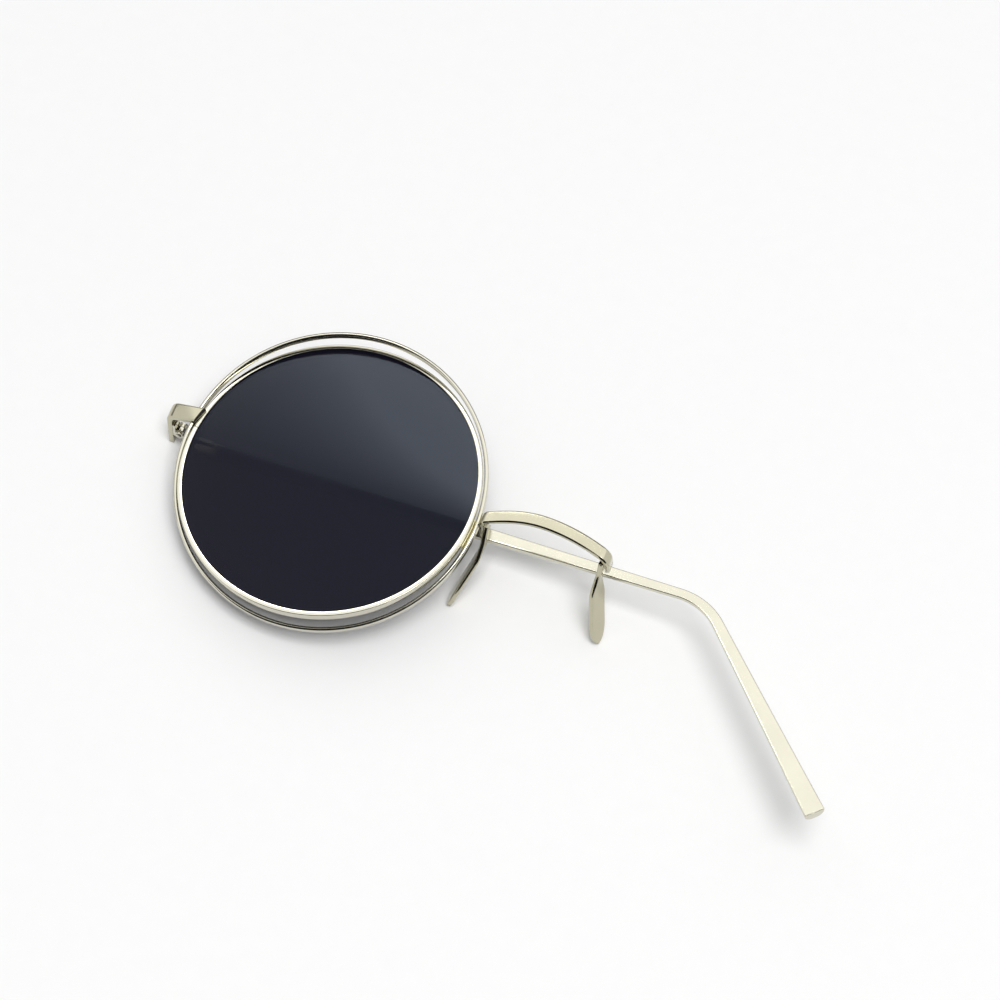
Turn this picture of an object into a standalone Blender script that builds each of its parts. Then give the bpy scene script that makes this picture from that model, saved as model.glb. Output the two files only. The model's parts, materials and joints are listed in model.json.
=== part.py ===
"""One-lens sunglasses: a round tinted lens in two crossed rims, a bridge with two metal nose pads, one temple.

Metres, +Z up. The glasses lie lens up on the table, resting on the endpiece's foot and on the tips of both
nose pads, with the temple folded under the lens. Inside the front's own frame X runs from the hinge to the
bridge, Y to the brow and Z out of the lens, with the origin in the middle of the outer rim's face.
"""
import math

import bmesh
import bpy
from mathutils import Matrix, Vector

# Seats and clearances
SEAT_GAP = 0.00006
RUNNING_GAP = 0.00005
CUT_OVERRUN = 0.001

# Lens rim: grooved, split at its lock, crossed with the outer rim
LENS_OPENING_RADIUS = 0.02606
LENS_RIM_WIDTH = 0.00084
LENS_RIM_DEPTH = 0.0016
LENS_RIM_EDGE = 0.0002
LENS_RIM_RISE = 0.00055
GROOVE_DEPTH = 0.00042
GROOVE_WIDTH = 0.0009
GROOVE_PLACE = 0.00085
RIM_SPLIT = 0.00014
RIM_SPLIT_ANGLE = math.radians(176.7)
CROSSING_ANGLE = math.radians(7.8)
CROSSING_HEADING = math.radians(4.5)

# Outer rim: a plain round wire of flattened section
RIM_CLEARANCE = 0.00028
OUTER_RIM_WIDTH = 0.00075
OUTER_RIM_DEPTH = 0.0014
OUTER_RIM_EDGE = 0.00028

# Lens: a flat tinted disc with a bevelled edge
LENS_RECESS = 0.0004
LENS_THICKNESS = 0.0018

# Strut between the rims on the nose side
STRUT_LENGTH = 0.0053
STRUT_DEPTH = 0.0016
STRUT_ANGLE = math.radians(-4.2)

# Endpiece: a strip laid over both rims, bent back into the leg that carries the hinge
ENDPIECE_WIDTH = 0.003
ENDPIECE_THICKNESS = 0.0011
ENDPIECE_LAP = 0.0003
ENDPIECE_HEIGHT = 0.0013
ENDPIECE_PLACE = 0.0036
ENDPIECE_SLOPE = math.radians(17)
ENDPIECE_END_ANGLE = math.radians(15)
ENDPIECE_BEND = 0.0024
ENDPIECE_RUN = 0.00546
LEG_FLARE = math.radians(4)
PANTOSCOPIC_TILT = math.radians(9)
STRIP_EDGE = 0.00016

# Hinge: three knuckles on one screw
HINGE_BACK = 0.0061
HINGE_PLACE = -0.0005
HINGE_WIDTH = 0.0021
MIDDLE_KNUCKLE_SHARE = 0.4
JOINT_REACH = 0.003
KNUCKLE_RADIUS = 0.00092
KNUCKLE_CLEARANCE = 0.00023
LEAF_THICKNESS = 0.0005
LEAF_TURN_END = math.radians(-140)
FRONT_LEAF_LENGTH = 0.0027
TEMPLE_LEAF_LENGTH = 0.0062

# Screws
HINGE_SCREW_RADIUS = 0.00042
LOCK_SCREW_RADIUS = 0.00045
SCREW_HEAD_RADIUS = 0.00078
SCREW_HEAD_HEIGHT = 0.00045
SCREW_TAIL = 0.00025
SCREW_CHAMFER = 0.0001
SLOT_WIDTH = 0.00022
SLOT_DEPTH = 0.0002

# Rim lock: two blocks behind the split, drawn together by a screw
LOCK_WIDTH = 0.0018
LOCK_DEPTH = 0.0019
LOCK_LENGTH = 0.0017
LOCK_EDGE = 0.0003

# Temple: half-round strip, flat inside, bent down behind the ear
TEMPLE_LENGTH = 0.09496
TEMPLE_EDGE_PLACE = 0.00054
TEMPLE_FOLD = math.radians(90.5)
TEMPLE_ROOT_WIDTH = 0.0034
TEMPLE_WAIST_WIDTH = 0.00182
TEMPLE_TIP_WIDTH = 0.0031
TEMPLE_ROOT_THICKNESS = 0.0014
TEMPLE_WAIST_THICKNESS = 0.0013
TEMPLE_TIP_THICKNESS = 0.0021
TEMPLE_EDGE = 0.00012
TIP_GROWTH_POWER = 1.4
EAR_BEND_ANGLE = math.radians(46.8)
EAR_BEND_RADIUS = 0.01104
EAR_LENGTH = 0.03924

# Bridge: a flat strip arched over the nose, turned back at both ends
BRIDGE_SPAN = 0.0238
BRIDGE_RISE = 0.0028
BRIDGE_PLACE = 0.0012
BRIDGE_HEIGHT = 0.0009
BRIDGE_WIDTH = 0.0024
BRIDGE_THICKNESS = 0.0008
BRIDGE_BEND = 0.0011
BRIDGE_RIM_LEG = 0.0017
BRIDGE_PAD_LEG = 0.0033
ARCH_PEAK_SHARE = 0.44
ARCH_RISE_POWER = 0.9
ARCH_FALL_POWER = 1.9

# Nose pads: solid metal blades, each with a narrow arm at the top
PAD_WIDTH = 0.0039
PAD_THICKNESS = 0.0009
PAD_SPLAY = math.radians(17)
PAD_TOP_DROP = 0.0005
PAD_TOP_PLACE = 0.0007
PAD_EDGE_SHARE = 0.4
PAD_ARM_SHARE = 0.2
LEFT_PAD_BOW = 0.0007
LEFT_PAD_SPREAD = -0.0037
LEFT_PAD_DROP = 0.012
LEFT_PAD_DEPTH = 0.0111
RIGHT_PAD_BOW = -0.0005
RIGHT_PAD_SPREAD = 0.0016
RIGHT_PAD_DROP = 0.0092
RIGHT_PAD_DEPTH = 0.0139
PAD_STATION_SHARES = (0, 0.1, 0.2, 0.3, 0.42, 0.55, 0.68, 0.8, 0.9, 0.96, 1)
PAD_WIDTH_SHARES = (0.5, 0.52, 0.62, 0.85, 0.97, 1, 1, 0.95, 0.8, 0.6, 0.3)
PAD_THICKNESS_SHARES = (1, 1, 1, 1, 1, 1, 1, 0.95, 0.85, 0.7, 0.45)
PAD_SPLAY_SHARES = (0, 0, 0.25, 0.6, 0.9, 1, 1, 1, 1, 1, 1)

# How finely curves are divided
RIM_STEPS = 96
KNUCKLE_STEPS = 20
LEAF_TURN_STEPS = 14
CORNER_STEPS = 2
BEND_STEPS = 5
ARCH_STEPS = 12
HALF_ROUND_STEPS = 8
TEMPLE_STEPS = 7
EAR_STEPS = 5
STRUT_STEPS = 4
SETTLING_ROUNDS = 8
SMOOTH_ANGLE = math.radians(35)

# Worked out from the above
LENS_RIM_OUTSIDE = LENS_OPENING_RADIUS + LENS_RIM_WIDTH
OUTER_RIM_INSIDE = LENS_RIM_OUTSIDE + RIM_CLEARANCE
OUTER_RIM_OUTSIDE = OUTER_RIM_INSIDE + OUTER_RIM_WIDTH
ENDPIECE_REACH = LENS_RIM_OUTSIDE - ENDPIECE_LAP
ENDPIECE_OUT = OUTER_RIM_OUTSIDE + ENDPIECE_RUN
HINGE_OFFSET = KNUCKLE_RADIUS + KNUCKLE_CLEARANCE
FOOT_BACK = HINGE_BACK + JOINT_REACH / math.cos(PANTOSCOPIC_TILT)
BRIDGE_LEFT = OUTER_RIM_OUTSIDE + SEAT_GAP
BRIDGE_RIGHT = BRIDGE_LEFT + BRIDGE_SPAN

# Colours and finishes
PALE_GOLD = (0.86, 0.82, 0.66)
DEEP_GOLD = (0.80, 0.76, 0.60)
SOLDER_GOLD = (0.84, 0.79, 0.58)
SCREW_GREY = (0.62, 0.60, 0.54)
SMOKE_GREY = (0.03, 0.035, 0.045)
POLISHED = 0.08
SATIN = 0.22
GLASSY = 0.03
LENS_OPACITY = 0.8


def clear_scene():
    """Removes whatever the scene holds."""
    for item in list(bpy.data.objects):
        bpy.data.objects.remove(item, do_unlink=True)


def metal(name, colour, roughness):
    """A metal of one colour for one piece."""
    material = bpy.data.materials.new(name)
    material.use_nodes = True
    shader = material.node_tree.nodes["Principled BSDF"]
    shader.inputs["Base Color"].default_value = (*colour, 1)
    shader.inputs["Metallic"].default_value = 1
    shader.inputs["Roughness"].default_value = roughness
    return material


def smoke_glass(name):
    """The dark grey of the lens."""
    material = bpy.data.materials.new(name)
    material.use_nodes = True
    shader = material.node_tree.nodes["Principled BSDF"]
    shader.inputs["Base Color"].default_value = (*SMOKE_GREY, 1)
    shader.inputs["Roughness"].default_value = GLASSY
    shader.inputs["Alpha"].default_value = LENS_OPACITY
    return material


def pale_gold(name):
    return metal(name, PALE_GOLD, POLISHED)


def deep_gold(name):
    return metal(name, DEEP_GOLD, POLISHED)


def solder_gold(name):
    return metal(name, SOLDER_GOLD, SATIN)


def screw_grey(name):
    return metal(name, SCREW_GREY, SATIN)


def add_piece(mesh, finish, parent):
    """Puts a finished mesh in the scene as a piece of its own name with its own material."""
    item = bpy.data.objects.new(mesh.name, mesh)
    bpy.context.collection.objects.link(item)
    mesh.materials.append(finish(mesh.name))
    mesh.shade_smooth()
    mesh.set_sharp_from_angle(angle=SMOOTH_ANGLE)
    item.parent = parent
    return item


def add_cutter(mesh, parent):
    """Puts a mesh in the scene as a guide that only cuts."""
    item = bpy.data.objects.new(mesh.name, mesh)
    bpy.context.collection.objects.link(item)
    item.parent = parent
    item.hide_render = True
    item.display_type = "WIRE"
    return item


def cut(target, cutter):
    """Takes the cutter out of the target."""
    modifier = target.modifiers.new("cut_" + cutter.name, "BOOLEAN")
    modifier.operation = "DIFFERENCE"
    modifier.solver = "EXACT"
    modifier.object = cutter


def empty(name, parent, matrix):
    """A frame that other pieces are placed in."""
    item = bpy.data.objects.new(name, None)
    bpy.context.collection.objects.link(item)
    item.parent = parent
    item.matrix_basis = matrix
    return item


def finish_mesh(name, shape):
    """Turns a bmesh into a mesh whose faces point out."""
    bmesh.ops.recalc_face_normals(shape, faces=shape.faces)
    mesh = bpy.data.meshes.new(name)
    shape.to_mesh(mesh)
    shape.free()
    return mesh


def join_loops(shape, near, far):
    """Faces between two loops of equal count."""
    count = len(near)
    for i in range(count):
        j = (i + 1) % count
        shape.faces.new((near[i], near[j], far[j], far[i]))


def loft(name, sections):
    """A solid through closed outlines of equal count, capped at both ends."""
    shape = bmesh.new()
    loops = [[shape.verts.new(point) for point in section] for section in sections]
    for near, far in zip(loops, loops[1:]):
        join_loops(shape, near, far)
    shape.faces.new(list(reversed(loops[0])))
    shape.faces.new(loops[-1])
    return finish_mesh(name, shape)


def turned_section(profile, angle):
    """A profile of (radius, height) points stood at an angle round Z."""
    turn = Vector((math.cos(angle), math.sin(angle), 0))
    return [turn * radius + Vector((0, 0, height)) for radius, height in profile]


def hoop(name, profile):
    """A closed profile turned right round Z."""
    shape = bmesh.new()
    loops = []
    for k in range(RIM_STEPS):
        section = turned_section(profile, math.tau * k / RIM_STEPS)
        loops.append([shape.verts.new(point) for point in section])
    for near, far in zip(loops, loops[1:] + loops[:1]):
        join_loops(shape, near, far)
    return finish_mesh(name, shape)


def arc(name, profile, start, sweep, steps):
    """A closed profile turned part of the way round Z, capped at both ends."""
    return loft(name, [turned_section(profile, start + sweep * k / steps) for k in range(steps + 1)])


def rounded_outline(width, height, edge):
    """Corners of a rounded rectangle about the origin, counter-clockwise."""
    points = []
    for sx, sy, quarter in ((1, 1, 0), (-1, 1, 1), (-1, -1, 2), (1, -1, 3)):
        centre = Vector((sx * (width / 2 - edge), sy * (height / 2 - edge)))
        for k in range(CORNER_STEPS + 1):
            angle = (quarter + k / CORNER_STEPS) * math.pi / 2
            points.append(centre + edge * Vector((math.cos(angle), math.sin(angle))))
    return points


def half_round_outline(width, thickness):
    """Flat on top at height zero, with slightly eased edges and a round belly: the section of the temple."""
    flat = width / 2 - TEMPLE_EDGE
    belly = thickness - TEMPLE_EDGE
    points = [Vector((flat, 0)), Vector((-flat, 0))]
    for k in range(HALF_ROUND_STEPS + 1):
        angle = math.pi + math.pi * k / HALF_ROUND_STEPS
        points.append(Vector((math.cos(angle) * width / 2, math.sin(angle) * belly - TEMPLE_EDGE)))
    return points


def circle(radius, steps):
    """Points of a circle about the origin."""
    return [radius * Vector((math.cos(math.tau * k / steps), math.sin(math.tau * k / steps))) for k in range(steps)]


def place(section, centre, across, up):
    """Lays a flat outline at a centre, with its x along one direction and its y along another."""
    return [centre + across * point.x + up * point.y for point in section]


def along_y(name, outline, bottom, top):
    """An outline in X and Z, drawn out along Y."""
    return loft(name, [[Vector((point.x, y, point.y)) for point in outline] for y in (bottom, top)])


def bore(target, radius, bottom, top, parent):
    """A round hole along Y through a piece."""
    outline = circle(radius, KNUCKLE_STEPS)
    mesh = along_y(target.name + "_bore", outline, bottom - CUT_OVERRUN, top + CUT_OVERRUN)
    cut(target, add_cutter(mesh, parent))


def screw(name, radius, bottom, seat, parent):
    """A round screw along Y whose slotted head sits at the seat."""
    top = seat + SCREW_HEAD_HEIGHT
    levels = ((radius - SCREW_CHAMFER, bottom), (radius, bottom + SCREW_CHAMFER), (radius, seat),
              (SCREW_HEAD_RADIUS, seat), (SCREW_HEAD_RADIUS, top - SCREW_CHAMFER),
              (SCREW_HEAD_RADIUS - SCREW_CHAMFER, top))
    sections = []
    for size, level in levels:
        sections.append([Vector((point.x, level, point.y)) for point in circle(size, KNUCKLE_STEPS)])
    item = add_piece(loft(name, sections), screw_grey, parent)
    half_width, half_length = SLOT_WIDTH / 2, SCREW_HEAD_RADIUS + CUT_OVERRUN
    outline = [Vector((-half_width, -half_length)), Vector((half_width, -half_length)),
               Vector((half_width, half_length)), Vector((-half_width, half_length))]
    cut(item, add_cutter(along_y(name + "_slot", outline, top - SLOT_DEPTH, top + CUT_OVERRUN), parent))


def crossing(side):
    """Tilt of a rim about the line on which the two rims cross."""
    turn = Matrix.Rotation(CROSSING_HEADING, 4, "Z")
    return turn @ Matrix.Rotation(side * CROSSING_ANGLE / 2, 4, "X") @ turn.inverted()


def outer_rim_frame():
    return crossing(1)


def lens_rim_frame():
    return crossing(-1) @ Matrix.Translation((0, 0, LENS_RIM_RISE))


def outer_rim_profile(growth):
    """Section of the outer rim, grown all round for the cutter of whatever seats on it."""
    outline = rounded_outline(OUTER_RIM_WIDTH + 2 * growth, OUTER_RIM_DEPTH + 2 * growth, OUTER_RIM_EDGE)
    middle = (OUTER_RIM_INSIDE + OUTER_RIM_OUTSIDE) / 2
    return [(middle + point.x, point.y - OUTER_RIM_DEPTH / 2) for point in outline]


def make_outer_rim(front):
    rim = add_piece(hoop("outer_rim", outer_rim_profile(0)), pale_gold, front)
    rim.matrix_basis = outer_rim_frame()


def notch_for_outer_rim(target, front):
    """Seats a piece on the outer rim."""
    cutter = add_cutter(hoop(target.name + "_notch", outer_rim_profile(SEAT_GAP)), front)
    cutter.matrix_basis = outer_rim_frame()
    cut(target, cutter)


def seat_on_lens_rim(target, front):
    """Seats a piece on the lens rim."""
    inner = LENS_OPENING_RADIUS - SEAT_GAP
    outer = LENS_RIM_OUTSIDE + SEAT_GAP
    profile = [(inner, -LENS_RIM_DEPTH), (outer, -LENS_RIM_DEPTH), (outer, SEAT_GAP), (inner, SEAT_GAP)]
    cutter = add_cutter(hoop(target.name + "_seat", profile), front)
    cutter.matrix_basis = lens_rim_frame()
    cut(target, cutter)


def lens_rim_profile():
    """Section of the lens rim: rounded outside, a V groove inside."""
    inner, outer, edge = LENS_OPENING_RADIUS, LENS_RIM_OUTSIDE, LENS_RIM_EDGE
    back = -LENS_RIM_DEPTH
    return [(inner, back), (outer - edge, back), (outer, back + edge), (outer, -edge), (outer - edge, 0),
            (inner + edge / 2, 0), (inner, -edge / 2), (inner, -GROOVE_PLACE + GROOVE_WIDTH / 2),
            (inner + GROOVE_DEPTH, -GROOVE_PLACE), (inner, -GROOVE_PLACE - GROOVE_WIDTH / 2)]


def make_lens_rim(front):
    split = RIM_SPLIT / LENS_RIM_OUTSIDE
    start = RIM_SPLIT_ANGLE + split / 2
    rim = add_piece(arc("lens_rim", lens_rim_profile(), start, math.tau - split, RIM_STEPS), pale_gold, front)
    rim.matrix_basis = lens_rim_frame()


def make_lens(front):
    """Flat disc whose bevelled edge sits in the groove."""
    side = LENS_OPENING_RADIUS - SEAT_GAP
    slope = math.atan2(GROOVE_DEPTH, GROOVE_WIDTH / 2)
    peak = LENS_OPENING_RADIUS + GROOVE_DEPTH - SEAT_GAP / math.cos(slope)
    bevel = (peak - side) / math.tan(slope)
    front_face = -LENS_RECESS
    back_face = -LENS_RECESS - LENS_THICKNESS
    levels = [(side, back_face), (side, -GROOVE_PLACE - bevel), (peak, -GROOVE_PLACE)]
    if front_face > -GROOVE_PLACE + bevel:
        levels.append((side, -GROOVE_PLACE + bevel))
    levels.append((side, front_face))
    sections = []
    for radius, height in levels:
        sections.append([Vector((point.x, point.y, height)) for point in circle(radius, RIM_STEPS)])
    lens = add_piece(loft("lens", sections), smoke_glass, front)
    lens.matrix_basis = lens_rim_frame()


def make_rim_strut(front):
    """Thin curved strip soldered between the rims on the nose side."""
    inside = LENS_RIM_OUTSIDE + SEAT_GAP
    outside = OUTER_RIM_INSIDE - SEAT_GAP
    top = LENS_RIM_RISE / 2 - LENS_RIM_EDGE
    profile = [(inside, top - STRUT_DEPTH), (outside, top - STRUT_DEPTH), (outside, top), (inside, top)]
    sweep = STRUT_LENGTH / LENS_RIM_OUTSIDE
    add_piece(arc("rim_strut", profile, STRUT_ANGLE - sweep / 2, sweep, STRUT_STEPS), solder_gold, front)


def lock_block(name, bottom, top, lock):
    """One half of the rim lock, with its share of the screw's hole."""
    outline = rounded_outline(LOCK_WIDTH, LOCK_DEPTH, LOCK_EDGE)
    block = add_piece(along_y(name, outline, bottom, top), pale_gold, lock)
    bore(block, LOCK_SCREW_RADIUS + RUNNING_GAP, bottom, top, lock)


def make_rim_lock(front):
    """Blocks and screw that close the split of the lens rim, behind it."""
    back = LENS_RIM_DEPTH + SEAT_GAP + LOCK_DEPTH / 2
    radius = LENS_OPENING_RADIUS + SEAT_GAP + LOCK_WIDTH / 2
    turn = Matrix.Rotation(RIM_SPLIT_ANGLE, 4, "Z")
    lock = empty("rim_lock", front, lens_rim_frame() @ turn @ Matrix.Translation((radius, 0, -back)))
    inner = RIM_SPLIT / 2
    outer = inner + LOCK_LENGTH
    lock_block("rim_lock_upper", -outer, -inner, lock)
    lock_block("rim_lock_lower", inner, outer, lock)
    screw("rim_lock_screw", LOCK_SCREW_RADIUS, -outer, outer + RUNNING_GAP, lock)


def leg_lean(height):
    """How far the endpiece's leg has moved down the face at a height below its bend."""
    start = ENDPIECE_HEIGHT - ENDPIECE_BEND
    return math.tan(PANTOSCOPIC_TILT) * min(0, height - start)


def hinge_place():
    """Place of the hinge's middle along Y."""
    return ENDPIECE_PLACE + leg_lean(-HINGE_BACK) + HINGE_PLACE


def endpiece_path():
    """Outer line of the endpiece in X and Z, with the direction that its outside faces."""
    slope = Vector((-math.cos(ENDPIECE_SLOPE), -math.sin(ENDPIECE_SLOPE)))
    down = Vector((-math.sin(LEG_FLARE), -math.cos(LEG_FLARE)))
    normal = Vector((slope.y, -slope.x))
    start = Vector((-ENDPIECE_REACH, ENDPIECE_HEIGHT))
    foot = Vector((-ENDPIECE_OUT, -FOOT_BACK))
    corner = foot - down * ((foot - start).dot(normal) / down.dot(normal))
    turn = math.pi / 2 - LEG_FLARE - ENDPIECE_SLOPE
    setback = ENDPIECE_BEND * math.tan(turn / 2)
    centre = corner - slope * setback - normal * ENDPIECE_BEND
    stations = [(start, normal)]
    for k in range(BEND_STEPS + 1):
        outward = Matrix.Rotation(turn * k / BEND_STEPS, 2) @ normal
        stations.append((centre + outward * ENDPIECE_BEND, outward))
    stations.append((foot, Vector((down.y, -down.x))))
    return stations


def make_endpiece(front):
    """Strip over both rims, bent back into the hinge's leg; its foot is cut square to the temple."""
    outline = rounded_outline(ENDPIECE_WIDTH, ENDPIECE_THICKNESS, STRIP_EDGE)
    sections = []
    for point, outward in endpiece_path():
        middle = point - outward * ENDPIECE_THICKNESS / 2
        centre = Vector((middle.x, ENDPIECE_PLACE + leg_lean(middle.y), middle.y))
        sections.append(place(outline, centre, Vector((0, 1, 0)), Vector((outward.x, 0, outward.y))))
    for point in sections[0]:
        point.x += (point.y - ENDPIECE_PLACE) * math.tan(ENDPIECE_END_ANGLE)
    for point in sections[-1]:
        point.z = -FOOT_BACK - (point.y - hinge_place()) * math.tan(PANTOSCOPIC_TILT)
    strip = add_piece(loft("endpiece", sections), pale_gold, front)
    notch_for_outer_rim(strip, front)
    seat_on_lens_rim(strip, front)


def arch_share(share):
    """Rise of the bridge along its span: quick at first, then falling slowly to the right end."""
    if share < ARCH_PEAK_SHARE:
        return math.sin(math.pi / 2 * max(0, share) / ARCH_PEAK_SHARE) ** ARCH_RISE_POWER
    fall = (share - ARCH_PEAK_SHARE) / (1 - ARCH_PEAK_SHARE)
    return 1 - min(1, fall) ** ARCH_FALL_POWER


def bridge_path():
    """Outer line of the bridge in X and Z: up the rim, along the top and down the pad's leg."""
    level = BRIDGE_HEIGHT - BRIDGE_BEND
    left_centre = Vector((BRIDGE_LEFT + BRIDGE_BEND, level))
    right_centre = Vector((BRIDGE_RIGHT - BRIDGE_BEND, level))
    stations = [(Vector((BRIDGE_LEFT, level - BRIDGE_RIM_LEG)), Vector((-1, 0)))]
    for k in range(BEND_STEPS + 1):
        angle = math.pi - math.pi / 2 * k / BEND_STEPS
        outward = Vector((math.cos(angle), math.sin(angle)))
        stations.append((left_centre + outward * BRIDGE_BEND, outward))
    for k in range(1, ARCH_STEPS):
        middle = left_centre.lerp(right_centre, k / ARCH_STEPS)
        stations.append((middle + Vector((0, BRIDGE_BEND)), Vector((0, 1))))
    for k in range(BEND_STEPS + 1):
        angle = math.pi / 2 - math.pi / 2 * k / BEND_STEPS
        outward = Vector((math.cos(angle), math.sin(angle)))
        stations.append((right_centre + outward * BRIDGE_BEND, outward))
    stations.append((Vector((BRIDGE_RIGHT, level - BRIDGE_PAD_LEG)), Vector((1, 0))))
    return stations


def make_bridge(front):
    """Flat strip arched over the nose; its ends are turned back, one to the rim and one to the right pad."""
    outline = rounded_outline(BRIDGE_WIDTH, BRIDGE_THICKNESS, STRIP_EDGE)
    sections = []
    for point, outward in bridge_path():
        middle = point - outward * BRIDGE_THICKNESS / 2
        rise = BRIDGE_RISE * arch_share((middle.x - BRIDGE_LEFT) / BRIDGE_SPAN)
        centre = Vector((middle.x, BRIDGE_PLACE + rise, middle.y))
        sections.append(place(outline, centre, Vector((0, 1, 0)), Vector((outward.x, 0, outward.y))))
    strip = add_piece(loft("bridge", sections), deep_gold, front)
    notch_for_outer_rim(strip, front)


def make_pad(name, face, side, reach, bow, front):
    """Solid metal blade that leans back and down from the bridge; its back edge splays away from the nose."""
    top = Vector((face, PAD_TOP_PLACE, BRIDGE_HEIGHT - BRIDGE_BEND - PAD_TOP_DROP))
    axis = Vector((0, reach.y, reach.z)).normalized()
    forward = Vector((0, axis.z, -axis.y))
    sections = []
    shares = zip(PAD_STATION_SHARES, PAD_WIDTH_SHARES, PAD_THICKNESS_SHARES, PAD_SPLAY_SHARES)
    for station, width_share, thickness_share, splay_share in shares:
        splay = PAD_SPLAY * splay_share
        across = forward * math.cos(splay) - Vector((side, 0, 0)) * math.sin(splay)
        thickness = PAD_THICKNESS * thickness_share
        outline = rounded_outline(PAD_WIDTH * width_share, thickness, thickness * PAD_EDGE_SHARE)
        slide = station * station * (3 - 2 * station)
        bulge = 4 * bow * station * (1 - station) * min(1, station / PAD_ARM_SHARE)
        centre = top + Vector((reach.x * slide + bulge, reach.y * station, reach.z * station))
        sections.append(place(outline, centre, across, axis.cross(across)))
    add_piece(loft(name, sections), deep_gold, front)


def make_nose_pads(front):
    """The left pad's arm lies on the outer face of the bridge's rim leg, the right one inside its pad leg."""
    half = SEAT_GAP + PAD_THICKNESS / 2
    left_face = BRIDGE_LEFT + BRIDGE_THICKNESS + half
    right_face = BRIDGE_RIGHT - BRIDGE_THICKNESS - half
    left_reach = Vector((LEFT_PAD_SPREAD, -LEFT_PAD_DROP, -LEFT_PAD_DEPTH))
    right_reach = Vector((RIGHT_PAD_SPREAD, -RIGHT_PAD_DROP, -RIGHT_PAD_DEPTH))
    make_pad("left_nose_pad", left_face, -1, left_reach, LEFT_PAD_BOW, front)
    make_pad("right_nose_pad", right_face, 1, right_reach, RIGHT_PAD_BOW, front)


def hinge_matrix():
    """Place of the hinge's axis, which runs along this frame's Y, inside the endpiece's leg."""
    inner_face = -ENDPIECE_OUT + ENDPIECE_THICKNESS / math.cos(LEG_FLARE)
    inner_face += (FOOT_BACK - HINGE_BACK) * math.tan(LEG_FLARE)
    x = inner_face + HINGE_OFFSET / math.cos(LEG_FLARE)
    return Matrix.Translation((x, hinge_place(), -HINGE_BACK)) @ Matrix.Rotation(-PANTOSCOPIC_TILT, 4, "X")


def leaf_outline(reach):
    """A leaf and its round knuckle seen along the axis; the leaf stands up beside the knuckle on the -X side."""
    seat = HINGE_OFFSET - SEAT_GAP
    inner = seat - LEAF_THICKNESS
    first = math.acos(-inner / KNUCKLE_RADIUS)
    points = [Vector((-inner, reach))]
    for k in range(LEAF_TURN_STEPS + 1):
        angle = first + (LEAF_TURN_END - first) * k / LEAF_TURN_STEPS
        points.append(KNUCKLE_RADIUS * Vector((math.cos(angle), math.sin(angle))))
    points.append(Vector((-seat, points[-1].y + LEAF_THICKNESS / 2)))
    points.append(Vector((-seat, reach)))
    return points


def make_front_leaf(hinge):
    """Two knuckles on a leaf soldered inside the endpiece's leg, with room between them for the temple's leaf."""
    half, middle = HINGE_WIDTH / 2, HINGE_WIDTH * MIDDLE_KNUCKLE_SHARE / 2
    turn = Matrix.Rotation(-LEG_FLARE, 2)
    outline = [turn @ point for point in leaf_outline(FRONT_LEAF_LENGTH)]
    leaf = add_piece(along_y("hinge_leaf_front", outline, -half, half), pale_gold, hinge)
    room = circle(math.hypot(HINGE_OFFSET, LEAF_THICKNESS) + RUNNING_GAP, KNUCKLE_STEPS)
    gap = along_y("hinge_leaf_front_gap", room, -middle, middle)
    cut(leaf, add_cutter(gap, hinge))
    bore(leaf, HINGE_SCREW_RADIUS + RUNNING_GAP, -half, half, hinge)


def make_temple_leaf(pivot):
    """The middle knuckle, on an arm soldered to the temple's flat side."""
    half = HINGE_WIDTH * MIDDLE_KNUCKLE_SHARE / 2 - RUNNING_GAP
    outline = [Vector((point.y, point.x)) for point in leaf_outline(TEMPLE_LEAF_LENGTH)]
    leaf = add_piece(along_y("hinge_leaf_temple", outline, -half, half), pale_gold, pivot)
    bore(leaf, HINGE_SCREW_RADIUS + RUNNING_GAP, -half, half, pivot)


def make_hinge_screw(hinge):
    """Pin of the hinge, with its head on the brow side."""
    half = HINGE_WIDTH / 2
    screw("hinge_screw", HINGE_SCREW_RADIUS, -half - SCREW_TAIL, half + RUNNING_GAP, hinge)


def temple_size(along):
    """Width and thickness: tapering to a waist before the bend, then growing to the tip."""
    if along < TEMPLE_LENGTH:
        share = along / TEMPLE_LENGTH
        width = TEMPLE_ROOT_WIDTH + (TEMPLE_WAIST_WIDTH - TEMPLE_ROOT_WIDTH) * share
        return width, TEMPLE_ROOT_THICKNESS + (TEMPLE_WAIST_THICKNESS - TEMPLE_ROOT_THICKNESS) * share
    share = ((along - TEMPLE_LENGTH) / (EAR_BEND_RADIUS * EAR_BEND_ANGLE + EAR_LENGTH)) ** TIP_GROWTH_POWER
    width = TEMPLE_WAIST_WIDTH + (TEMPLE_TIP_WIDTH - TEMPLE_WAIST_WIDTH) * share
    return width, TEMPLE_WAIST_THICKNESS + (TEMPLE_TIP_THICKNESS - TEMPLE_WAIST_THICKNESS) * share


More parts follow.
